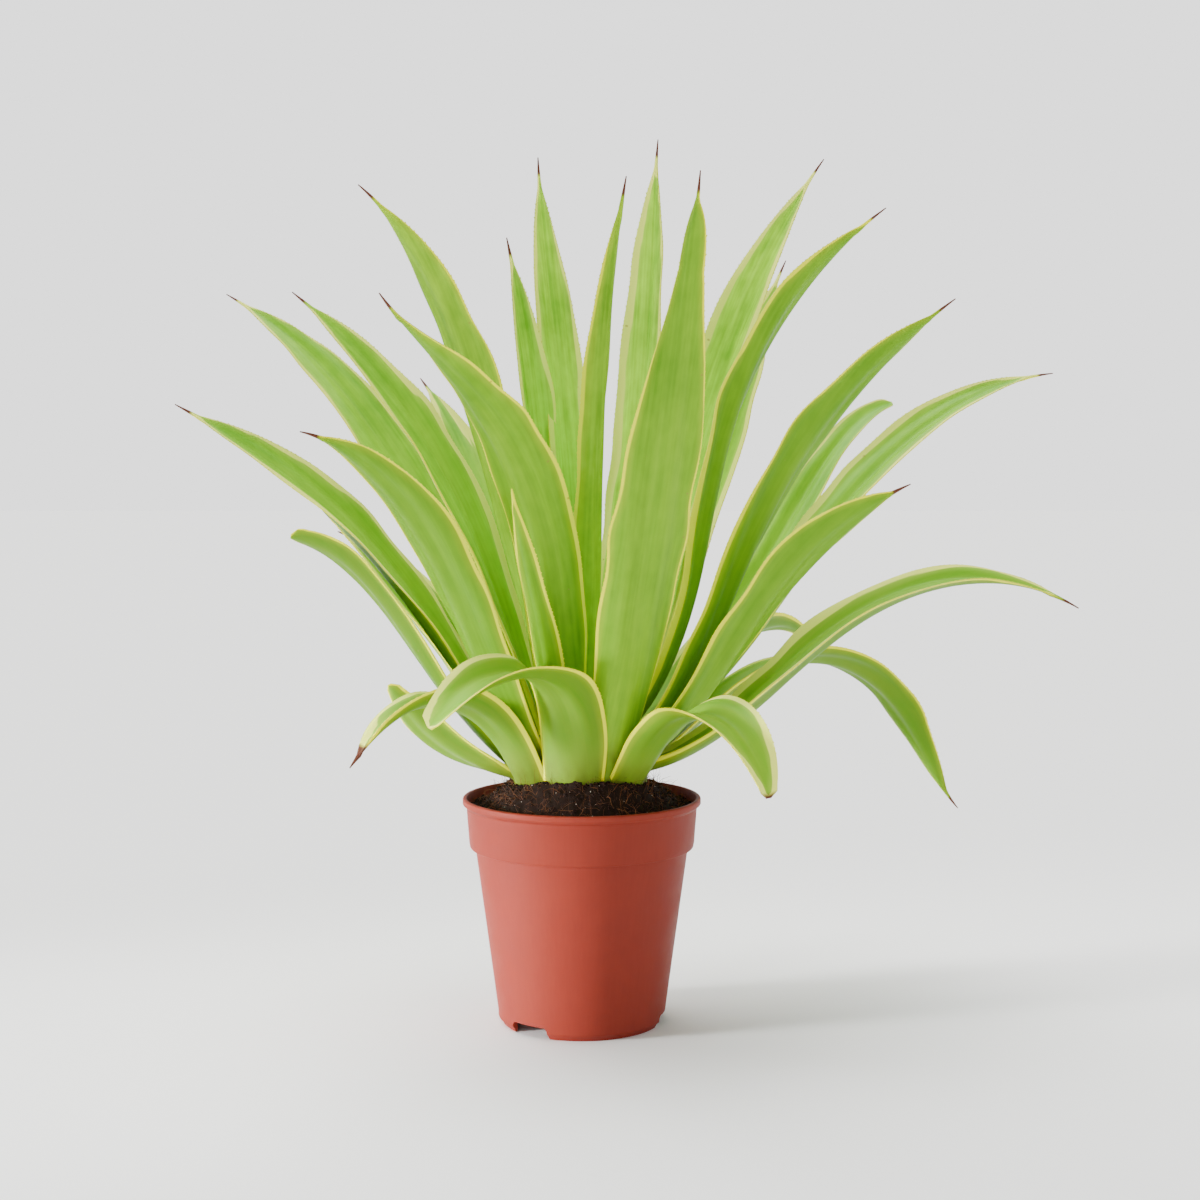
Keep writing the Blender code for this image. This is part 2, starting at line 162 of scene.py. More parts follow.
def colour(code):
    """An sRGB hex colour as linear RGB."""
    parts = [int(code[i : i + 2], 16) / 255 for i in (1, 3, 5)]
    return tuple(p / 12.92 if p <= 0.04045 else ((p + 0.055) / 1.055) ** 2.4 for p in parts)


def set_inputs(tree, node, inputs):
    """Each input is given a value, or linked from a socket or from another node's first live output."""
    for name, value in inputs.items():
        socket = node.inputs[name]
        if isinstance(value, bpy.types.Node):
            value = next(output for output in value.outputs if output.enabled)
        if isinstance(value, bpy.types.NodeSocket):
            tree.links.new(value, socket)
        elif socket.type == "RGBA":
            socket.default_value = (*value, 1)
        else:
            socket.default_value = value


def add_node(tree, kind, inputs=None, **settings):
    """A shader node with its settings, its values and its links."""
    made = tree.nodes.new("ShaderNode" + kind)
    for name, value in settings.items():
        setattr(made, name, value)
    set_inputs(tree, made, inputs or {})
    return made


# a Mix node's sockets and setting, and a Map Range node's
FACTOR, FLOAT_A, FLOAT_B, COLOUR_A, COLOUR_B = 0, 2, 3, 6, 7
IN_COLOUR = {"data_type": "RGBA"}
VALUE, LOW, HIGH, START, END = "Value", "From Min", "From Max", "To Min", "To Max"
EASED = {"interpolation_type": "SMOOTHSTEP"}


def new_material(name):
    made = bpy.data.materials.new(name)
    made.use_nodes = True
    return made, made.node_tree, made.node_tree.nodes["Principled BSDF"]


# ---- settings


def length_setting(name, description, default):
    return FloatProperty(name=name, description=description, default=default, unit="LENGTH", precision=4)


def colour_setting(name, description, code):
    return FloatVectorProperty(name=name, description=description, default=colour(code), subtype="COLOR")


class AgaveLeafSettings(PropertyGroup):
    neck: FloatProperty(name="Neck", description="Root width over the widest", default=0.58, subtype="FACTOR")
    row: length_setting("Row", "Spacing of the blade's rows along the leaf", 0.0032)
    columns: IntProperty(name="Columns", description="Faces across a blade", default=24)
    stripe: length_setting("Stripe", "Width of the yellow margin", 0.0016)
    spine: length_setting("Spine", "Length of the brown end spine", 0.013)
    tooth: length_setting("Tooth", "Height of a marginal tooth", 0.0008)
    tooth_spacing: length_setting("Tooth spacing", "From tooth to tooth along the margin", 0.0036)
    green: colour_setting("Green", "Flesh in the middle of a leaf", "#79AA10")
    young_green: colour_setting("Young green", "Flesh of the heart's leaves", "#A6D61E")
    old_green: colour_setting("Old green", "Flesh of the lowest leaves", "#688918")
    deep_green: colour_setting("Deep green", "Darker streaks", "#4F840C")
    bloom: colour_setting("Bloom", "Waxy bloom over the channel", "#B4D04C")
    cream: colour_setting("Cream", "Margin stripe", "#EAE900")
    pale_cream: colour_setting("Pale cream", "Margin stripe on the inner face", "#EFF66E")
    horn: colour_setting("Horn", "Thin hard edge of the margin", "#E8E620")
    spine_brown: colour_setting("Spine brown", "End spine", "#5C3322")


class AgavePotSettings(PropertyGroup):
    steps: IntProperty(name="Steps", description="Faces round the pot", default=144)
    plastic: colour_setting("Plastic", "Moulded polypropylene", "#792A1E")
    plastic_worn: colour_setting("Worn plastic", "Chalky scuffs and the lip", "#8B3526")


class AgaveSoilSettings(PropertyGroup):
    crumbs: IntProperty(name="Crumbs", description="Loose crumbs on the soil", default=2600)
    fibres: IntProperty(name="Fibres", description="Peat fibres and fine roots on the soil", default=1500)
    grains: IntProperty(name="Grains", description="Pale mineral grains on the soil", default=190)
    peat: colour_setting("Peat", "Moist peat", "#150A05")
    peat_dry: colour_setting("Dry peat", "Dry crumbs", "#28130A")
    fibre: colour_setting("Fibre", "Pale brown fibres", "#7E4E2C")
    grain: colour_setting("Grain", "Perlite and sand grains", "#D8D2C6")


class AgaveStageSettings(PropertyGroup):
    floor: colour_setting("Floor", "Painted studio floor", "#FAFAF8")
    key: FloatProperty(name="Key", description="Power of the light at the left, in watts", default=2.7)
    fill: FloatProperty(name="Fill", description="Power of the light in front, in watts", default=4.5)
    overhead: FloatProperty(name="Overhead", description="Strength of the soft ceiling light", default=5.5)
    sky: FloatProperty(name="Sky", description="Brightness of the surroundings", default=1.98)


# ---- helpers for modelling


def deselect_all():
    for item in bpy.context.selected_objects:
        item.select_set(False)


def make_active(piece):
    deselect_all()
    piece.select_set(True)
    bpy.context.view_layer.objects.active = piece


def apply_modifiers(piece):
    make_active(piece)
    for modifier in list(piece.modifiers):
        bpy.ops.object.modifier_apply(modifier=modifier.name)


def smooth(piece, degrees):
    """Shade the piece smooth, and leave edges sharper than that angle crisp."""
    make_active(piece)
    bpy.ops.object.shade_smooth_by_angle(angle=math.radians(degrees))


def add_object(name, data):
    made = bpy.data.objects.new(name, data)
    bpy.context.scene.collection.objects.link(made)
    return made


def finish_piece(piece, slot, *nodes):
    """The piece rides on the one body and stands for the CAD nodes; its slot is not used."""
    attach(piece, "root")
    if nodes:
        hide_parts(*nodes)


# ---- leaves


def along(values, share):
    """The smooth run through evenly spaced values, at a share of the way along."""
    last = len(values) - 1
    total = np.zeros_like(share)
    for i, value in enumerate(values):
        weight = np.ones_like(share)
        for j in range(last + 1):
            if j != i:
                weight = weight * (share * last - j) / (i - j)
        total = total + weight * value
    return total


def step_between(low, high, value):
    """0 below low, 1 above high, and smooth between them."""
    share = np.clip((value - low) / (high - low), 0, 1)
    return share * share * (3 - 2 * share)


def crown_radius(height):
    for (radius, top), (wider, bottom) in zip(CROWN, CROWN[1:]):
        if bottom <= height <= top:
            return radius + (wider - radius) * (top - height) / (top - bottom)
    raise ValueError(f"the crown doesn't reach {height} mm")


def polar(radius, bearing, height):
    level = height + np.zeros_like(bearing)
    return np.stack([radius * np.cos(bearing), radius * np.sin(bearing), level], axis=-1)


def heading(leaf, share):
    """The blade's bearing and slope in radians. A share below 0 is in the soil."""
    above = np.maximum(share, 0)
    bearing = np.radians(leaf.bearing + along((0, *leaf.swing), above))
    buried = np.clip(-share * leaf.length / BURIED * BURIED_TURN, 0, 1)
    rise = along(leaf.rise, above)
    return bearing, np.radians(rise + (BURIED_SLOPE - rise) * buried)


def midrib(leaf, share):
    """Where the midrib runs, in millimetres."""
    bearing = np.radians(np.array(float(leaf.bearing)))
    root = polar(crown_radius(leaf.height) - ROOTED, bearing, SOIL_TOP + leaf.height)
    bearing, slope = heading(leaf, (np.arange(MIDRIB_STEPS) + 0.5) / MIDRIB_STEPS)
    strides = leaf.length / MIDRIB_STEPS * polar(np.cos(slope), bearing, np.sin(slope))
    bearing, slope = heading(leaf, -(np.arange(BURIED_STEPS) + 0.5) / BURIED_STEPS * BURIED / leaf.length)
    down = BURIED / BURIED_STEPS * polar(np.cos(slope), bearing, np.sin(slope))
    places = np.vstack([(root - np.cumsum(down, axis=0))[::-1], root, root + np.cumsum(strides, axis=0)])
    buried = (np.arange(BURIED_STEPS) / BURIED_STEPS - 1) * BURIED / leaf.length
    stations = np.concatenate([buried, np.linspace(0, 1, MIDRIB_STEPS + 1)])
    return np.stack([np.interp(share, stations, places[:, axis]) for axis in range(3)], axis=-1)


def blade_width(leaf, share, neck):
    neck = leaf.neck or neck
    widening = neck + (1 - neck) * np.sin(math.pi / 2 * np.clip(share / WIDEST_FROM, 0, 1))
    narrowing = np.clip((share - WIDEST_TO) / (TAPER_END - WIDEST_TO), 0, 1)
    taper = 1 - (1 - leaf.blunt) * narrowing**leaf.taper
    if leaf.blunt:
        rounding = np.clip((share - TAPER_END) / BLUNT_RUN, 0, 1)
        taper = taper * np.sqrt(np.clip(1 - rounding**2, 0.01, 1))
    shoulder_end = np.clip((share - SHOULDER_FROM) / (TAPER_END - SHOULDER_FROM), 0, 1)
    taper = np.maximum(taper, leaf.shoulder * (1 - shoulder_end**5))
    spine = SPINE_WIDTH + (SPINE_TIP - SPINE_WIDTH) * np.clip((share - SPINE_FROM) / (1 - SPINE_FROM), 0, 1)
    return np.maximum(leaf.width * widening * taper, spine)


def blade_directions(leaf, share):
    """Unit vectors across the blade, and up out of its inner face."""
    bearing, slope = heading(leaf, share)
    roll = np.radians(along((0, *leaf.roll), np.maximum(share, 0)))[:, None]
    flat = np.stack([-np.sin(bearing), np.cos(bearing), np.zeros_like(bearing)], axis=-1)
    facing = polar(-np.sin(slope), bearing, np.cos(slope))
    across = flat * np.cos(roll) + facing * np.sin(roll)
    up = facing * np.cos(roll) - flat * np.sin(roll)
    return across, up


def blade_points(leaf, share, side, neck, phase):
    """The blade's middle surface, with the long low waves that a margin has."""
    across, up = blade_directions(leaf, share)
    width = blade_width(leaf, share, neck)
    living = step_between(0.1, 0.3, share) * (1 - step_between(0.75, 0.95, share))
    run = share * leaf.length
    # the margins swell and wave about every 90 mm
    width = width * (1 + BULGE * living * np.sin(run / 14 + 3 * phase + 1.3 * np.sin(run / 31 + phase)))
    wave = living * np.abs(side) ** 3 * WAVE * np.sin(run / 15 + phase + side)
    folds = living * FOLD * width * np.sin(7.5 * side + 2 * phase + run / 90)
    lift = leaf.channel * width * np.abs(side) ** 1.7 + wave + folds
    places = midrib(leaf, share) + across * (width / 2 * side)[:, None] + up * lift[:, None]
    return places, width


def thickness(share, side, width):
    """Fleshy at the root and the midrib, thin at the margins, and round in the end spine."""
    middle = TIP_THICKNESS + (BASE_THICKNESS - TIP_THICKNESS) * (1 - share) ** THINNING
    margin = MARGIN_THICKNESS + MARGIN_AT_ROOT * (1 - np.maximum(share, 0)) ** 3
    blade = margin + (middle - margin) * (1 - np.abs(side) ** 2.4)
    spine = 0.25 + 0.9 * width * np.sqrt(np.clip(1 - side * side, 0, 1))
    round_share = 1 - step_between(SPINE_ROUND, BLADE_FLAT, width)
    return blade + (spine - blade) * round_share


def point_attribute(mesh, name, values):
    made = mesh.attributes.new(name, "FLOAT", "POINT")
    made.data.foreach_set("value", np.asarray(values, np.float32))


def lay_blade(leaf, settings, luck):
    """A grid laid along the midrib, with what the finish needs to know at each of its points."""
    rows = round(leaf.length * MM / settings.row)
    deselect_all()
    bpy.ops.mesh.primitive_grid_add(x_subdivisions=settings.columns, y_subdivisions=rows, size=2)
    piece = bpy.context.object
    mesh = piece.data
    places = np.empty(len(mesh.vertices) * 3)
    mesh.vertices.foreach_get("co", places)
    places = places.reshape(-1, 3)
    side = np.sin(places[:, 0] * math.pi / 2) * CROWDING + places[:, 0] * (1 - CROWDING)
    below = BURIED / leaf.length
    share = (places[:, 1] + 1) / 2 * (1 + below) - below
    points, width = blade_points(leaf, share, side, settings.neck, luck)
    mesh.vertices.foreach_set("co", (points * MM).ravel())
    spine_lost = settings.spine / MM + SPINE_FADE if leaf.blunt else 0
    youth = YOUTH.get(leaf.name, YOUTH[leaf.name.split("_")[0]])
    point_attribute(mesh, "edge_mm", (1 - np.abs(side)) * width / 2)
    point_attribute(mesh, "root_mm", share * leaf.length)
    point_attribute(mesh, "tip_mm", (1 - share) * leaf.length + spine_lost - leaf.withered)
    point_attribute(mesh, "run", share * min(1.0, leaf.length / STRIPE_RUN))
    for name, value in (("tone", luck / math.tau), ("stripe", leaf.stripe), ("youth", youth)):
        point_attribute(mesh, name, np.full_like(share, value))
    corners = np.empty(len(mesh.loops), np.int32)
    mesh.loops.foreach_get("vertex_index", corners)
    uv = np.stack([(side * width / 2 * MM)[corners], (share * leaf.length * MM)[corners]], axis=-1)
    mesh.uv_layers[0].data.foreach_set("uv", uv.ravel())
    group = piece.vertex_groups.new(name="thickness")
    for index, value in enumerate(thickness(share, side, width) / BASE_THICKNESS):
        group.add([index], float(min(value, 1.0)), "REPLACE")
    return piece


def add_teeth(leaf, piece, settings, luck):
    """Small hooked teeth along both margins of the outer two thirds."""
    count = int(leaf.length * TOOTHED_RUN / (settings.tooth_spacing / MM))
    form = bmesh.new()
    form.from_mesh(piece.data)
    run_layer, tip_layer, tone_layer = (form.verts.layers.float[name] for name in ("run", "tip_mm", "tone"))
    chance = random.Random(leaf.name)
    for margin in (-1.0, 1.0):
        uneven = [i + chance.uniform(-0.25, 0.25) for i in range(count)]
        shares = np.array([TOOTHED_FROM + TOOTHED_RUN * i / count for i in uneven])
        sides = np.full_like(shares, margin)
        places, width = blade_points(leaf, shares, sides, settings.neck, luck)
        ahead, _ = blade_points(leaf, shares + 0.002, sides, settings.neck, luck)
        across, up = blade_directions(leaf, shares)
        for i, share in enumerate(shares):
            if width[i] < TOOTHED_WIDTH or (leaf.blunt and share > TOOTHED_BLUNT):
                continue
            size = settings.tooth / MM * chance.uniform(0.7, 1.25)
            run = Vector(ahead[i] - places[i]).normalized() * size
            out = Vector(across[i]) * margin
            rise = Vector(up[i]) * 0.4
            start = Vector(places[i]) - out * 0.35
            back, front = start - run * 1.1, start + run * 0.8
            corners = [back + rise, back - rise, front - rise, front + rise]
            if margin > 0:
                corners.reverse()
            base = [form.verts.new(corner * MM) for corner in corners]
            point = form.verts.new((start + out * (size + 0.35) + run * 0.7) * MM)
            for vertex in base + [point]:
                vertex[run_layer] = share * min(1.0, leaf.length / STRIPE_RUN)
                vertex[tip_layer] = (1 - share) * leaf.length - leaf.withered
                vertex[tone_layer] = luck / math.tau
            faces = [form.faces.new(base[::-1])]
            faces += [form.faces.new((base[j], base[(j + 1) % 4], point)) for j in range(4)]
            for face in faces:
                face.material_index = MARGIN
    form.to_mesh(piece.data)
    form.free()


def make_leaf(leaf, settings, finishes):
    luck = random.Random("wave " + leaf.name).uniform(0, math.tau)
    piece = lay_blade(leaf, settings, luck)
    piece.name = piece.data.name = "agave_leaf_" + leaf.name
    for finish in finishes:
        piece.data.materials.append(finish)
    solidify = piece.modifiers.new("Flesh", "SOLIDIFY")
    solidify.thickness = BASE_THICKNESS * MM
    solidify.offset = 0
    solidify.vertex_group = "thickness"
    solidify.material_offset = INNER
    solidify.material_offset_rim = MARGIN
    apply_modifiers(piece)
    add_teeth(leaf, piece, settings, luck)
    smooth(piece, 48)
    finish_piece(piece, "leaf", "leaf_" + leaf.name)
    return piece


def leaf_face(name, settings, cream, stripe, bloom, shade, ripe):
    """Living leaf: waxy cuticle over translucent flesh, so a soft sheen, a bloom and a glow at the edges."""
    made, tree, shader = new_material(name)
    uv = add_node(tree, "UVMap", uv_map="UVMap")
    edge, root, tip, tone, youth, run, broader = (
        add_node(tree, "Attribute", attribute_name=attribute).outputs["Fac"]
        for attribute in ("edge_mm", "root_mm", "tip_mm", "tone", "youth", "run", "stripe")
    )
    # veins, broad bands of tone, broader patches and small mottles: their size across and along, and detail
    patterns = []
    sizes = ((0.002, 0.080, 3), (0.009, 0.140, 2), (0.045, 0.110, 2), (0.006, 0.014, 4))
    for across, length, detail in sizes:
        place = add_node(tree, "Mapping", {"Vector": uv, "Scale": (1 / across, 1 / length, 1)})
        cells = {"Vector": place, "Scale": 1.0, "Detail": detail, "W": tone}
        patterns.append(add_node(tree, "TexNoise", cells, noise_dimensions="4D"))
    vein, band, patch, mottle = patterns
    coarse = add_node(tree, "Mix", {FACTOR: 0.6, FLOAT_A: band, FLOAT_B: patch}, data_type="FLOAT")
    fine = add_node(tree, "Mix", {FACTOR: 0.45, FLOAT_A: vein, FLOAT_B: mottle}, data_type="FLOAT")
    streak = add_node(tree, "Math", {0: fine, 1: coarse}, operation="ADD")
    green_share = add_node(tree, "MapRange", {VALUE: streak, LOW: 0.62, HIGH: 1.3})
    # a leaf greens towards its tip
    greener = add_node(tree, "MapRange", {VALUE: run, LOW: 0.45, HIGH: 1.0, END: ripe})
    ripe_share = add_node(tree, "Math", {0: green_share, 1: greener}, operation="SUBTRACT", use_clamp=True)
    # leaves pale from the lowest ring to the heart
    flesh = add_node(tree, "ValToRGB", {"Fac": youth})
    flesh.color_ramp.elements.new(0.5)
    tints = (settings.old_green, settings.green, settings.young_green)
    # shade scales every tint, and the inner face's larger shade paints light from above into it
    for stop, tint in zip(flesh.color_ramp.elements, tints):
        stop.color = (*[c * shade for c in tint], 1)
    deep = [c * shade for c in settings.deep_green]
    surface = add_node(tree, "Mix", {FACTOR: ripe_share, COLOUR_A: deep, COLOUR_B: flesh}, **IN_COLOUR)
    # the bloom lies in the channel, away from the margins, in patches, with a painted highlight down the
    # channel
    bloom_range = add_node(tree, "MapRange", {VALUE: edge, LOW: 5.0, HIGH: 20.0, END: bloom}, **EASED)
    bloom_patch = add_node(tree, "MapRange", {VALUE: band, LOW: 0.35, HIGH: 0.65, START: 0.3})
    bloom_and_highlight = add_node(tree, "Math", {0: bloom_range, 1: bloom_patch}, operation="MULTIPLY")
    # the root is pale where it never saw light
    pale_root = add_node(tree, "MapRange", {VALUE: root, HIGH: 45.0, START: 0.25, END: 0.0}, **EASED)
    # painted shade where the leaf meets the soil, with peat dust and dried skin, darkens the foot of a leaf,
    # in patches of a few millimetres
    foot = add_node(tree, "MapRange", {VALUE: root, HIGH: 26.0, START: 0.75, END: 0.0}, **EASED)
    dust = add_node(tree, "MapRange", {VALUE: mottle, LOW: 0.35, HIGH: 0.65, START: 0.35})
    dust_and_shade = add_node(tree, "Math", {0: foot, 1: dust}, operation="MULTIPLY")
    # the stripe wanders by about a millimetre, and runs out up the leaf
    width = {VALUE: band, LOW: 0.3, HIGH: 0.7, START: 0.55 * stripe, END: 1.35 * stripe + 0.2}
    wander = add_node(tree, "MapRange", width)
    lost = add_node(tree, "MapRange", {VALUE: run, LOW: 0.5, HIGH: 0.95, END: 0.7 * stripe})
    wide = add_node(tree, "Math", {0: wander, 1: lost}, operation="SUBTRACT")
    wider = add_node(tree, "Math", {0: wide, 1: broader}, operation="MULTIPLY")
    inside = add_node(tree, "Math", {0: wider, 1: edge}, operation="SUBTRACT")
    halo = add_node(tree, "MapRange", {VALUE: inside, LOW: -3.5, HIGH: 0.0, END: 0.16})
    striped = add_node(tree, "MapRange", {VALUE: inside, LOW: -0.35, HIGH: 0.35, END: 0.92}, **EASED)
    # sparse corky specks, under a millimetre
    dots = add_node(tree, "TexVoronoi", {"Vector": uv, "Scale": 55.0, "Randomness": 1.0})
    speck = add_node(tree, "MapRange", {VALUE: dots, LOW: 0.035, HIGH: 0.055, START: 0.55, END: 0.0})
    spine = settings.spine / MM
    tip_end = {VALUE: tip, LOW: spine - 1.5, HIGH: spine + 2.5, START: 1.0, END: 0.0}
    spined = add_node(tree, "MapRange", tip_end, **EASED)
    for share, tint in (
        # the bloom also paints a highlight down the channel
        (bloom_and_highlight, settings.bloom),
        (pale_root, colour("#A3B53C")),
        # dust and painted shade darken the foot
        (dust_and_shade, colour("#55601C")),
        (halo, cream),
        (striped, cream),
        (speck, colour("#8A7A3C")),
        (spined, settings.spine_brown),
    ):
        surface = add_node(tree, "Mix", {FACTOR: share, COLOUR_A: surface, COLOUR_B: tint}, **IN_COLOUR)
    # light sinks into the fleshy lower part, and not into the thin end
    fleshy = {VALUE: run, LOW: 0.35, HIGH: 0.6, START: 0.2, END: 0.0}
    finish = {
        "Base Color": surface,
        "Normal": add_node(tree, "Bump", {"Height": vein, "Strength": 0.3, "Distance": 0.0003}),
        "Subsurface Weight": add_node(tree, "MapRange", fleshy),
        "Subsurface Radius": (0.7, 1.0, 0.2),
        "Subsurface Scale": 0.0015,
        "Roughness": 0.45,
        "IOR": 1.4,
        "Specular IOR Level": 0.14,
    }
    set_inputs(tree, shader, finish)
    return made


def leaf_margin(name, settings):
    """Horn: the thin hard edge that dries pale, and brown at the end spine."""
    made, tree, shader = new_material(name)
    run = add_node(tree, "Attribute", attribute_name="run").outputs["Fac"]
    tip = add_node(tree, "Attribute", attribute_name="tip_mm").outputs["Fac"]
    green = add_node(tree, "MapRange", {VALUE: run, LOW: 0.6, HIGH: 1.0, END: 0.7})
    spine = settings.spine / MM
    tip_end = {VALUE: tip, LOW: spine - 1.5, HIGH: spine + 7.0, START: 1.0, END: 0.0}
    brown = add_node(tree, "MapRange", tip_end)
    surface = settings.horn
    for share, tint in ((green, settings.green), (brown, settings.spine_brown)):
        surface = add_node(tree, "Mix", {FACTOR: share, COLOUR_A: surface, COLOUR_B: tint}, **IN_COLOUR)
    set_inputs(tree, shader, {"Base Color": surface, "Roughness": 0.45, "IOR": 1.5})
    return made


def leaf_finishes(settings):
    """The two faces and the margin, made once and shared by every leaf."""
    outer, inner, margin = names = "Agave leaf outer face", "Agave leaf inner face", "Horny leaf margin"
    if outer not in bpy.data.materials:
        width = settings.stripe / MM
        # the inner face is painted 1.72 times as bright as the outer: a slightly paler waxy face, and painted
        # light from above
        leaf_face(outer, settings, settings.cream, width, bloom=0.05, shade=1.0, ripe=0.15)
        leaf_face(inner, settings, settings.pale_cream, 2.4 * width, bloom=0.13, shade=1.72, ripe=0.35)
        leaf_margin(margin, settings)
    return [bpy.data.materials[name] for name in names]


def make_ring(context, ring):
    settings = context.scene.agave_leaves
    finishes = leaf_finishes(settings)
    made = [make_leaf(leaf, settings, finishes) for leaf in LEAVES if leaf.name.startswith(ring)]
    if not made:
        raise RuntimeError(f"no leaves named {ring}")
    return {"FINISHED"}


class AGAVE_OT_outer_leaves(Operator):
    """Model the lowest ring: old leaves that arch over the pot"""

    bl_idname = "agave.outer_leaves"
    bl_label = "Outer leaves"

    def execute(self, context):
        return make_ring(context, "outer")


class AGAVE_OT_middle_leaves(Operator):
    """Model the second ring of leaves"""

    bl_idname = "agave.middle_leaves"
    bl_label = "Middle leaves"

    def execute(self, context):
        return make_ring(context, "middle")


class AGAVE_OT_inner_leaves(Operator):
    """Model the third ring of leaves"""

    bl_idname = "agave.inner_leaves"
    bl_label = "Inner leaves"

    def execute(self, context):
        return make_ring(context, "inner")


class AGAVE_OT_heart_leaves(Operator):
    """Model the young upright leaves of the heart"""

    bl_idname = "agave.heart_leaves"
    bl_label = "Heart leaves"

    def execute(self, context):
        return make_ring(context, "heart")


# ---- pot

RIM_RADIUS = 85.0
POT_HEIGHT = 162.0
BASE_RADIUS = 60.0
NOTCHES, NOTCH_BEARING, NOTCH_WIDTH, NOTCH_HEIGHT = 3, 111.5, 29, 8.5  # bearing and width in degrees
NOTCH_ROUNDING = 3.2
DRAINS, DRAIN_RING, DRAIN_RADIUS = 6, 38, 4.5


def arc(centre, radius, start, end, steps):
    """Points of a rounded corner, between two angles in degrees."""
    angles = [math.radians(start + (end - start) * i / steps) for i in range(steps + 1)]
    return [(centre[0] + radius * math.cos(a), centre[1] + radius * math.sin(a)) for a in angles]


def pot_profile():
    """The pot's section in millimetres, from the middle underneath, up the outside and down the inside."""
    top, ring, rim, pad = POT_HEIGHT, BASE_RADIUS, RIM_RADIUS, 14.0
    profile = [(pad - 1, 0.0), (pad, 0.15), (pad + 6, 11.8), (pad + 7, 12.0)]
    profile += [(ring - 3.2, 12.0), (ring - 3.6, 10.0), (ring - 4.4, 3.0)]
    profile += arc((ring - 3.7, 0.7), 0.7, 180, 360, 6)
    profile += [(ring - 1.9, 2.6)]
    profile += arc((ring - 2.0, 5.2), 2.0, -35, 0, 3)
    profile += [(ring + 0.05, 8.4), (ring + 2.9, 30.0), (rim - 9.6, top - 40.0)]
    profile += arc((rim - 8.6, top - 36.9), 1.0, 180, 120, 3)
    profile += arc((rim - 6.2, top - 34.6), 1.1, -60, 0, 4)
    profile += [(rim - 4.6, top - 32.0), (rim - 2.9, top - 9.0), (rim - 2.7, top - 6.8)]
    profile += [(rim - 1.9, top - 6.2), (rim - 1.2, top - 5.2)]
    profile += arc((rim - 1.1, top - 3.9), 1.1, -60, 0, 3)
    profile += arc((rim - 1.5, top - 1.5), 1.5, 0, 90, 6)
    profile += arc((rim - 2.3, top - 0.8), 0.8, 90, 180, 4)
    profile += [(rim - 4.0, top - 6.4), (rim - 6.2, top - 31.8)]
    profile += [(rim - 7.4, top - 33.2), (rim - 11.0, top - 34.8), (rim - 11.4, top - 40.4)]
    profile += [(ring - 1.6, 16.0), (ring - 3.5, 14.0), (pad + 5, 13.8), (pad - 1.6, 1.8)]
    return profile


def turn(name, profile, steps):
    """A solid of revolution: a disc, whose edge is extruded and resized ring by ring, then closed."""
    deselect_all()
    radius, height = profile[0]
    bpy.ops.mesh.primitive_circle_add(
        vertices=steps, radius=radius * MM, fill_type="NGON", location=(0, 0, height * MM)
    )
    piece = bpy.context.object
    piece.name = piece.data.name = name
    bpy.ops.object.transform_apply(location=True)
    bpy.ops.object.mode_set(mode="EDIT")
    bpy.ops.mesh.select_mode(type="EDGE")
    bpy.ops.mesh.select_all(action="SELECT")
    bpy.ops.mesh.region_to_loop()
    for wider, higher in profile[1:]:
        bpy.ops.mesh.extrude_edges_move(TRANSFORM_OT_translate={"value": (0, 0, (higher - height) * MM)})
        scale = wider / radius
        bpy.ops.transform.resize(value=(scale, scale, 1), center_override=(0, 0, higher * MM))
        radius, height = wider, higher
    bpy.ops.mesh.edge_face_add()
    bpy.ops.mesh.select_all(action="SELECT")
    bpy.ops.mesh.normals_make_consistent(inside=False)
    bpy.ops.object.mode_set(mode="OBJECT")
    return piece


def cut_away(piece, cutter):
    modifier = piece.modifiers.new("Cut", "BOOLEAN")
    modifier.operation = "DIFFERENCE"
    modifier.solver = "EXACT"
    modifier.object = cutter
    apply_modifiers(piece)
    bpy.data.objects.remove(cutter)


def notch_cutter(bearing):
    """A slab across the foot ring, with round upper corners that flare at the ground."""
    deselect_all()
    bpy.ops.mesh.primitive_cube_add(size=1)
    cutter = bpy.context.object
    half = math.radians(NOTCH_WIDTH / 2)
    for corner in cutter.data.vertices:
        radius = BASE_RADIUS + (7 if corner.co.x > 0 else -9)
        flare = 1.12 if corner.co.z < 0 else 1.0
        angle = math.radians(bearing) + math.copysign(half * flare, corner.co.y)
        level = NOTCH_HEIGHT if corner.co.z > 0 else -3.0
        corner.co = Vector((radius * math.cos(angle), radius * math.sin(angle), level)) * MM
    bpy.ops.object.mode_set(mode="EDIT")
    bpy.ops.mesh.select_mode(type="EDGE")
    bpy.ops.mesh.select_all(action="DESELECT")
    form = bmesh.from_edit_mesh(cutter.data)
    for edge in form.edges:
        ends = [vertex.co for vertex in edge.verts]
        outward = abs(ends[0].xy.length - ends[1].xy.length) > 8 * MM
        edge.select = outward and min(end.z for end in ends) > 0
    bmesh.update_edit_mesh(cutter.data)
    bpy.ops.mesh.bevel(offset=NOTCH_ROUNDING * MM, segments=6)
    bpy.ops.object.mode_set(mode="OBJECT")
    return cutter


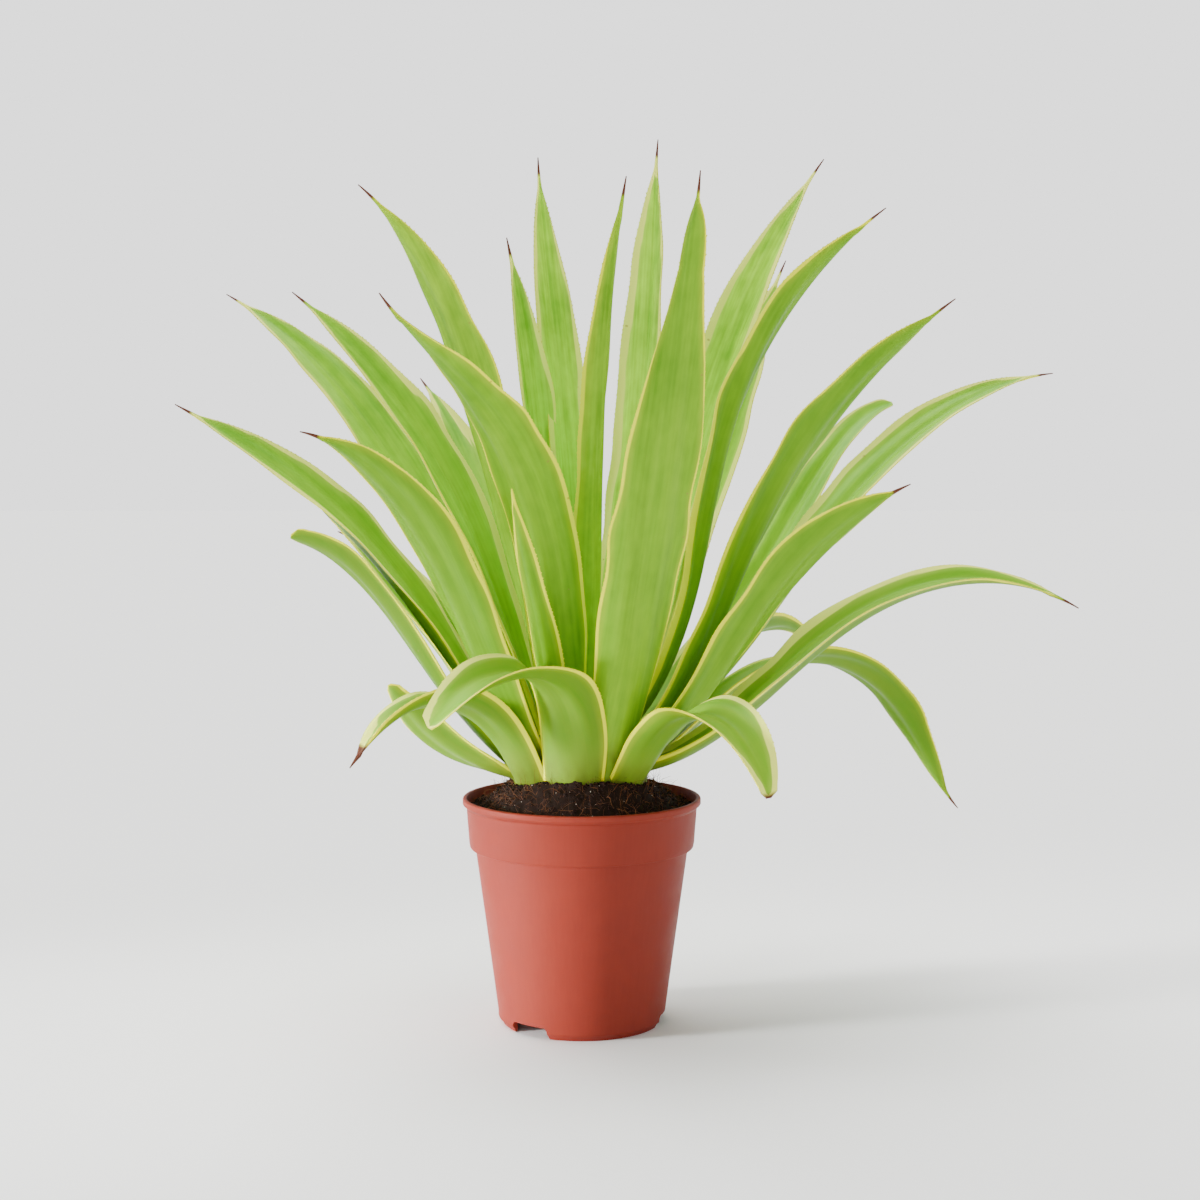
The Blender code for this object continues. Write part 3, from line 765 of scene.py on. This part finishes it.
def pot_plastic(settings):
    """Injection-moulded polypropylene: satin, slightly waxy, with flow streaks and chalky scuffs."""
    made, tree, shader = new_material("Moulded polypropylene")
    place = add_node(tree, "TexCoord").outputs["Object"]
    # flow streaks rise up the wall, about 2 mm apart
    streak_place = add_node(tree, "Mapping", {"Vector": place, "Scale": (480, 480, 9)})
    streak = add_node(tree, "TexNoise", {"Vector": streak_place, "Scale": 1.0, "Detail": 3.0})
    # blotches of dust and water marks are about 25 mm across
    blotch = add_node(tree, "TexNoise", {"Vector": place, "Scale": 38.0, "Detail": 4.0, "Roughness": 0.6})
    height = add_node(tree, "SeparateXYZ", {"Vector": place}).outputs["Z"]
    # the streaks and the blotches are worn, and the lip is lighter
    surface = settings.plastic
    wear_and_lip = ((streak, 0.35, 0.75, 0.16), (blotch, 0.45, 0.75, 0.2), (height, 0.1565, 0.1615, 0.35))
    for mark, low, high, most in wear_and_lip:
        share = add_node(tree, "MapRange", {VALUE: mark, LOW: low, HIGH: high, END: most})
        layers = {FACTOR: share, COLOUR_A: surface, COLOUR_B: settings.plastic_worn}
        surface = add_node(tree, "Mix", layers, **IN_COLOUR)
    dulled = {VALUE: blotch, LOW: 0.3, HIGH: 0.7, START: 0.48, END: 0.62}
    # moulding grain, about half a millimetre
    grain = add_node(tree, "TexNoise", {"Vector": place, "Scale": 1900.0, "Detail": 2.0})
    finish = {
        "Base Color": surface,
        "Normal": add_node(tree, "Bump", {"Height": grain, "Strength": 0.12, "Distance": 0.0002}),
        "Roughness": add_node(tree, "MapRange", dulled),
        "IOR": 1.49,
        "Specular IOR Level": 0.12,
        "Subsurface Weight": 0.06,
        "Subsurface Scale": 0.003,
    }
    set_inputs(tree, shader, finish)
    return made


class AGAVE_OT_pot(Operator):
    """Turn the pot, cut its drain holes and foot notches"""

    bl_idname = "agave.pot"
    bl_label = "Pot"

    def execute(self, context):
        settings = context.scene.agave_pot
        pot = turn("nursery_pot", pot_profile(), settings.steps)
        for number in range(NOTCHES):
            cut_away(pot, notch_cutter(NOTCH_BEARING + 360 / NOTCHES * number))
        for number in range(DRAINS):
            bearing = math.tau / DRAINS * (number + 0.5)
            place = Vector((DRAIN_RING * math.cos(bearing), DRAIN_RING * math.sin(bearing), 13)) * MM
            deselect_all()
            size = {"radius": DRAIN_RADIUS * MM, "depth": 14 * MM}
            bpy.ops.mesh.primitive_cylinder_add(vertices=32, location=place, **size)
            cut_away(pot, bpy.context.object)
        smooth(pot, 32)
        pot.data.materials.append(pot_plastic(settings))
        finish_piece(pot, "pot_plastic", "pot")
        return {"FINISHED"}


# ---- soil

SOIL_EDGE = 154.5
SOIL_RIM = 80.2  # radius of the soil where it meets the pot


def soil_height(x, y):
    """Height of the mound, in millimetres: it is heaped against the leaf bases, most of all at the front."""
    radius = math.hypot(x, y)
    front = max(-y / max(radius, 1.0), 0.0) ** 1.5
    heaped = SOIL_TOP - 8 + 10 * front
    share = min(max((SOIL_RIM - radius) / (SOIL_RIM - crown_radius(0)), 0.0), 1.0)
    return SOIL_EDGE + (heaped - SOIL_EDGE) * share**1.5


def rough(place, size, seed):
    """Fractal unevenness, about -1 to 1, with lumps of that size in millimetres."""
    spot = Vector((place[0] / size, place[1] / size, seed))
    return noise.fractal(spot, 1.0, 2.0, 4, noise_basis="PERLIN_ORIGINAL")


def ground(x, y):
    """Height of the lumpy soil, in millimetres."""
    radius = math.hypot(x, y)
    calm = min(max((SOIL_RIM + 0.5 - radius) / 3, 0.0), 1.0)
    return soil_height(x, y) + calm * (1.9 * rough((x, y), 14, 3.1) + 1.1 * rough((x, y), 4.5, 7.7))


def soil_body():
    """The soil down to the pot's floor, with a lumpy top."""
    profile = [(11.6, 2.2), (18.2, 14.2), (BASE_RADIUS - 2.4, 14.2), (RIM_RADIUS - 12.2, POT_HEIGHT - 40.4)]
    profile += [(RIM_RADIUS - 11.8, POT_HEIGHT - 34.4), (RIM_RADIUS - 7.4, POT_HEIGHT - 32.4)]
    profile += [(SOIL_RIM, SOIL_EDGE - 1.5)]
    profile += [(SOIL_RIM - 0.4 - 0.8 * i, SOIL_EDGE) for i in range(60)]
    piece = turn("peat_soil", profile, 288)
    for vertex in piece.data.vertices:
        x, y = vertex.co.x / MM, vertex.co.y / MM
        if vertex.co.z > (SOIL_EDGE - 1) * MM:
            vertex.co.z = ground(x, y) * MM
    return piece


def scatter_place(chance):
    """A place on the open soil, in millimetres, more often by the leaf bases than by the pot."""
    inner, outer = crown_radius(0) - 10, SOIL_RIM - 1.0
    radius = inner + (outer - inner) * chance.random() ** 1.15
    bearing = chance.uniform(0, math.tau)
    return radius * math.cos(bearing), radius * math.sin(bearing)


def lump_template():
    """A small stone-like lump, as the points and faces that each crumb copies."""
    deselect_all()
    bpy.ops.mesh.primitive_ico_sphere_add(subdivisions=1, radius=1)
    lump = bpy.context.object
    points = np.array([vertex.co for vertex in lump.data.vertices])
    faces = np.array([face.vertices for face in lump.data.polygons])
    bpy.data.objects.remove(lump)
    return points, faces


def scattered(name, count, seed, sizes, flatness, lift):
    """Copies of the lump, each of its own shape, size and turn, lying on the soil in one mesh."""
    chance = random.Random(seed)
    template, template_faces = lump_template()
    luck = np.random.default_rng(seed)
    points, faces, tones = [], [], []
    for number in range(count):
        x, y = scatter_place(chance)
        size = chance.uniform(*sizes) * chance.uniform(0.55, 1.0)
        shape = template * luck.uniform(0.6, 1.25, (len(template), 1)) * (1, chance.uniform(0.6, 1), flatness)
        long, wide, high = shape.T
        angle = chance.uniform(0, math.tau)
        cos, sin = math.cos(angle), math.sin(angle)
        tilted = high + long * chance.uniform(-0.3, 0.3)
        turned = np.stack([long * cos - wide * sin, long * sin + wide * cos, tilted], axis=-1)
        points.append(turned * size + (x, y, ground(x, y) + lift * size))
        faces.append(template_faces + number * len(template))
        tones.append(np.full(len(template), chance.random()))
    return mesh_piece(name, np.vstack(points) * MM, np.vstack(faces), np.concatenate(tones))


def mesh_piece(name, points, faces, tones):
    mesh = bpy.data.meshes.new(name)
    mesh.from_pydata(points.tolist(), [], faces.tolist())
    point_attribute(mesh, "tone", tones)
    return add_object(name, mesh)


def fibres(name, count, seed):
    """Thin bent fibres and rootlets that lie on the soil or stand out of it."""
    chance = random.Random(seed)
    points, faces, tones = [], [], []
    sides, joints = 3, 5
    for number in range(count):
        x, y = scatter_place(chance)
        place = Vector((x, y, ground(x, y) - 0.4))
        bearing = chance.uniform(0, math.tau)
        slope = chance.uniform(0.0, 1.45)
        stride = chance.uniform(3.5, 14) / (joints - 1)
        thick = chance.uniform(0.11, 0.26)
        first = len(points)
        for joint in range(joints):
            radius = thick * (1 - 0.7 * joint / (joints - 1))
            level = Vector((math.sin(bearing), -math.cos(bearing), 0)) * radius
            for side in range(sides):
                angle = math.tau * side / sides
                points.append(place + level * math.cos(angle) + Vector((0, 0, radius * math.sin(angle))))
            bearing += chance.uniform(-0.5, 0.5)
            slope += chance.uniform(-0.55, 0.25)
            flat = stride * math.cos(slope)
            place += Vector((flat * math.cos(bearing), flat * math.sin(bearing), stride * math.sin(slope)))
            if place.xy.length > SOIL_RIM - 0.8:
                place.xy = place.xy.normalized() * (SOIL_RIM - 0.8)
            place.z = max(place.z, ground(place.x, place.y) + 0.1)
        for joint in range(joints - 1):
            for side in range(sides):
                a = first + joint * sides + side
                b = first + joint * sides + (side + 1) % sides
                faces.append((a, b, b + sides, a + sides))
        tones += [chance.random()] * (sides * joints)
    return mesh_piece(name, np.array(points) * MM, np.array(faces), np.array(tones))


def soil_finish(name, dark, light, roughness):
    """Peat: fibrous, matt and almost black where it is wet, browner where it has dried."""
    made, tree, shader = new_material(name)
    place = add_node(tree, "TexCoord").outputs["Object"]
    tone = add_node(tree, "Attribute", attribute_name="tone").outputs["Fac"]
    # clods are 2 to 3 mm across
    clod = add_node(tree, "TexNoise", {"Vector": place, "Scale": 420.0, "Detail": 6.0, "Roughness": 0.7})
    mixed = add_node(tree, "Math", {0: clod, 1: tone}, operation="ADD")
    dried = add_node(tree, "MapRange", {VALUE: mixed, LOW: 0.45, HIGH: 1.45})
    finish = {
        "Base Color": add_node(tree, "Mix", {FACTOR: dried, COLOUR_A: dark, COLOUR_B: light}, **IN_COLOUR),
        "Normal": add_node(tree, "Bump", {"Height": clod, "Strength": 0.8, "Distance": 0.0008}),
        "Roughness": roughness,
        "Specular IOR Level": 0.2,
    }
    set_inputs(tree, shader, finish)
    return made


class AGAVE_OT_soil(Operator):
    """Heap the soil, and scatter crumbs, fibres and grains on it"""

    bl_idname = "agave.soil"
    bl_label = "Soil"

    def execute(self, context):
        settings = context.scene.agave_soil
        body = soil_body()
        point_attribute(body.data, "tone", np.full(len(body.data.vertices), 0.3))
        smooth(body, 60)
        body.data.materials.append(soil_finish("Moist peat", settings.peat, settings.peat_dry, 0.92))
        finish_piece(body, "peat", "soil")
        crumbs = scattered("peat_crumbs", settings.crumbs, 11, (0.5, 1.9), 0.75, 0.25)
        crumbs.data.materials.append(soil_finish("Peat crumb", settings.peat, settings.peat_dry, 0.95))
        finish_piece(crumbs, "peat")
        threads = fibres("peat_fibres", settings.fibres, 23)
        threads.data.materials.append(soil_finish("Peat fibre", settings.peat_dry, settings.fibre, 0.8))
        finish_piece(threads, "peat")
        grains = scattered("mineral_grains", settings.grains, 5, (0.25, 0.6), 0.9, 0.6)
        grains.data.materials.append(soil_finish("Perlite", settings.fibre, settings.grain, 0.7))
        finish_piece(grains, "peat")
        return {"FINISHED"}


# ---- crown

SLIMMER = 8.0  # how much the stem stands back from the leaf roots


def stem_finish():
    """Pithy stem: matt, fibrous and ringed by old leaf scars, and painted darker as shade under the leaves.
    """
    made, tree, shader = new_material("Pithy stem")
    place = add_node(tree, "TexCoord").outputs["Object"]
    # leaf scars are a few millimetres apart, and run level round the stem
    scar_place = add_node(tree, "Mapping", {"Vector": place, "Scale": (60, 60, 320)})
    scar = add_node(tree, "TexNoise", {"Vector": scar_place, "Scale": 1.0, "Detail": 4.0})
    # both greens are darkened as painted shade under the leaves
    layers = {FACTOR: scar, COLOUR_A: colour("#2F3A14"), COLOUR_B: colour("#6F8032")}
    finish = {
        "Base Color": add_node(tree, "Mix", layers, **IN_COLOUR),
        "Normal": add_node(tree, "Bump", {"Height": scar, "Strength": 0.6, "Distance": 0.001}),
        "Roughness": 0.75,
    }
    set_inputs(tree, shader, finish)
    return made


class AGAVE_OT_crown(Operator):
    """Turn the short stem that the leaves grow from"""

    bl_idname = "agave.crown"
    bl_label = "Crown"

    def execute(self, context):
        profile = [(38.0, SOIL_TOP - 28)]
        rings = [point for point in reversed(CROWN) if point[0] > 40]
        profile += [(radius - SLIMMER, SOIL_TOP + height) for radius, height in rings if height >= 0]
        profile += [(24.0, SOIL_TOP + 34), (12.0, SOIL_TOP + 44), (4.0, SOIL_TOP + 48)]
        stem = turn("agave_stem", profile, 48)
        smooth(stem, 60)
        stem.data.materials.append(stem_finish())
        finish_piece(stem, "stem", "crown")
        return {"FINISHED"}


# ---- stage

CEILING_SIDE = (-0.25, 0.3, 1)  # where the soft overhead light comes from
CEILING_SPREAD = 55.0
KEY_SPREAD = 16.0
CAMERA_PLACE = (0.013, -1.40, 0.40)
CAMERA_DIP = 3.99  # degrees below level
CAMERA_LENS = 59.3


def area_light(name, place, size, power, target):
    light = bpy.data.lights.new(name, "AREA")
    light.shape = "RECTANGLE"
    light.size, light.size_y = size
    light.energy = power
    made = add_object(name, light)
    made.location = place
    made.rotation_euler = (Vector(target) - Vector(place)).to_track_quat("-Z", "Y").to_euler()
    return light


def floor_paint(settings):
    """Matt studio paint: even, pale and barely uneven."""
    made, tree, shader = new_material("Matt studio paint")
    place = add_node(tree, "TexCoord").outputs["Object"]
    # roller stipple, a few centimetres
    stipple = add_node(tree, "TexNoise", {"Vector": place, "Scale": 30.0, "Detail": 2.0})
    roughness = add_node(tree, "MapRange", {VALUE: stipple, START: 0.75, END: 0.9})
    set_inputs(tree, shader, {"Base Color": settings.floor, "Roughness": roughness})
    return made


def studio_sky(tree, settings):
    """Pale walls all round that fade to a dimmer ceiling."""
    direction = add_node(tree, "TexCoord").outputs["Generated"]
    height = add_node(tree, "SeparateXYZ", {"Vector": direction}).outputs["Z"]
    wall = add_node(tree, "ValToRGB", {"Fac": height})
    stops = wall.color_ramp.elements
    stops[1].position = 0.22
    stops.new(0.4)
    for stop, level in zip(stops, (1.0, 1.0, 0.2)):
        stop.color = (level, level, level, 1)
    set_inputs(tree, tree.nodes["Background"], {"Color": wall, "Strength": settings.sky})


class AGAVE_OT_stage(Operator):
    """Set the floor, the soft lights and the camera"""

    bl_idname = "agave.stage"
    bl_label = "Stage"

    def execute(self, context):
        settings = context.scene.agave_stage
        deselect_all()
        bpy.ops.mesh.primitive_plane_add(size=30)
        floor = bpy.context.object
        floor.name = "studio_floor"
        floor.data.materials.append(floor_paint(settings))
        world = bpy.data.worlds.new("Studio")
        context.scene.world = world
        world.use_nodes = True
        studio_sky(world.node_tree, settings)
        key = area_light("key_low_left", (-2.0, -0.56, 0.3), (0.6, 0.3), settings.key, (0, 0, 0.05))
        key.spread = math.radians(KEY_SPREAD)
        area_light("fill_front", (-1.2, -1.9, 1.2), (1.6, 1.6), settings.fill, (0, 0, 0.3))
        overhead = bpy.data.lights.new("overhead", "SUN")
        overhead.energy = settings.overhead
        overhead.angle = math.radians(CEILING_SPREAD)
        ceiling = add_object("overhead", overhead)
        ceiling.rotation_euler = Vector(CEILING_SIDE).to_track_quat("Z", "Y").to_euler()
        camera = bpy.data.cameras.new("camera")
        camera.lens = CAMERA_LENS
        camera.sensor_width = 36
        view = add_object("camera", camera)
        view.location = CAMERA_PLACE
        view.rotation_euler = (math.radians(90 - CAMERA_DIP), 0, 0)
        context.scene.camera = view
        return {"FINISHED"}


# ---- sidebar and registration

OPERATORS = (
    AGAVE_OT_pot,
    AGAVE_OT_soil,
    AGAVE_OT_crown,
    AGAVE_OT_outer_leaves,
    AGAVE_OT_middle_leaves,
    AGAVE_OT_inner_leaves,
    AGAVE_OT_heart_leaves,
    AGAVE_OT_stage,
)

SETTINGS = {
    "agave_leaves": AgaveLeafSettings,
    "agave_pot": AgavePotSettings,
    "agave_soil": AgaveSoilSettings,
    "agave_stage": AgaveStageSettings,
}


class AGAVE_PT_sidebar(Panel):
    bl_label = "Potted Agave"
    bl_idname = "AGAVE_PT_sidebar"
    bl_space_type = "VIEW_3D"
    bl_region_type = "UI"
    bl_category = "Agave"

    def draw(self, context):
        for operator in OPERATORS:
            self.layout.operator(operator.bl_idname)
        for name, group in SETTINGS.items():
            box = self.layout.box()
            for setting in group.__annotations__:
                box.prop(getattr(context.scene, name), setting)


def register():
    for group in (*SETTINGS.values(), *OPERATORS, AGAVE_PT_sidebar):
        bpy.utils.register_class(group)
    for name, group in SETTINGS.items():
        setattr(bpy.types.Scene, name, PointerProperty(type=group))


def unregister():
    for name in SETTINGS:
        delattr(bpy.types.Scene, name)
    for group in reversed((*SETTINGS.values(), *OPERATORS, AGAVE_PT_sidebar)):
        bpy.utils.unregister_class(group)


def main():
    register()
    bpy.ops.agave.pot()
    bpy.ops.agave.soil()
    bpy.ops.agave.crown()
    bpy.ops.agave.outer_leaves()
    bpy.ops.agave.middle_leaves()
    bpy.ops.agave.inner_leaves()
    bpy.ops.agave.heart_leaves()
    bpy.ops.agave.stage()


if __name__ == "__main__":
    main()
